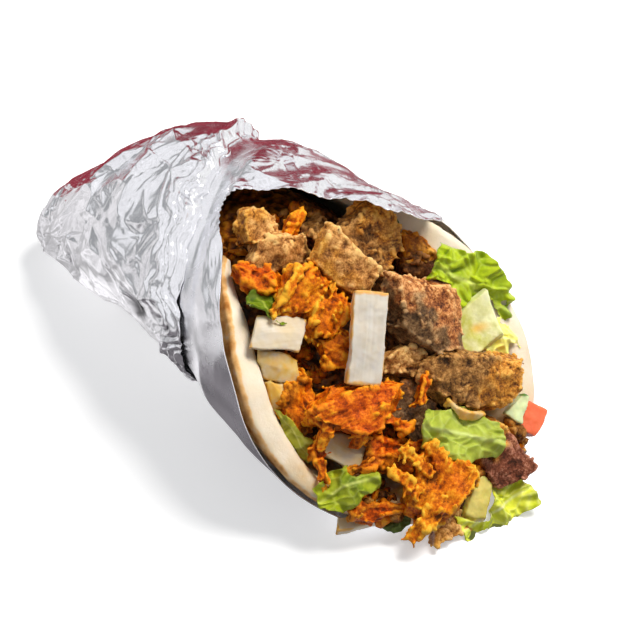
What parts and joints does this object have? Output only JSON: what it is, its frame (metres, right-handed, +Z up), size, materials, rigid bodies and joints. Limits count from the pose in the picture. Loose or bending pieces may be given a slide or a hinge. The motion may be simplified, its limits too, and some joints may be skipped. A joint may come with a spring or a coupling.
{
  "type": "doner kebab sandwich",
  "caption": "Doner kebab in a flatbread trough, filled with doner slices, spiced chicken, onion, lettuce and tomato, half wrapped in crumpled foil and lying on its side.",
  "frame": {"origin": "centre of the footprint, on the surface the kebab lies on", "axes": "+X along the roll from its closed tail to its open mouth, +Y across it, +Z up"},
  "size_m": [0.206, 0.0992, 0.08],
  "materials": {
    "foil": "bright crumpled aluminium foil",
    "bread": "soft flatbread with toasted spots",
    "doner": "moist roast meat with a crisp crust",
    "chicken": "oily spiced chicken",
    "onion": "wet translucent onion",
    "lettuce": "wet lettuce leaf",
    "tomato": "wet tomato",
    "cucumber": "wet cucumber",
    "scraps": "packed small scraps of meat"
  },
  "bodies": {
    "root": {"foil_outer": "foil", "foil_inner": "foil", "bread": "bread", "onion_slab": "onion", "lettuce_top": "lettuce", "onion_curl": "onion", "chicken_small": "chicken", "doner_front": "doner", "chicken_spill": "chicken", "chicken_middle": "chicken", "doner_crust": "doner", "doner_big": "doner", "doner_slice": "doner", "cucumber_wedge": "cucumber", "tomato_wedge": "tomato", "chicken_shreds": "chicken", "chicken_strand": "chicken", "chicken_torn": "chicken", "chicken_curl": "chicken", "onion_near": "onion", "onion_near_low": "onion", "onion_wedge": "onion", "carrot_shreds": "chicken", "doner_wall": "doner", "doner_low": "doner", "doner_roof": "doner", "lettuce_rib": "lettuce", "lettuce_far": "lettuce", "lettuce_yellow": "lettuce", "chicken_far": "chicken", "doner_dark": "doner", "chicken_stick": "chicken", "doner_back": "doner", "doner_crumbly": "doner", "doner_deep": "doner", "chicken_near": "chicken", "chicken_brown": "chicken", "onion_low": "onion", "lettuce_strip": "lettuce", "lettuce_near": "lettuce", "lettuce_low": "lettuce", "cucumber_stick": "cucumber", "lettuce_spill": "lettuce", "doner_spill": "doner", "chicken_lip": "chicken", "onion_spill": "onion", "lettuce_dark": "lettuce", "lettuce_sliver": "lettuce", "filling_bed": "scraps"}
  },
  "joints": []
}
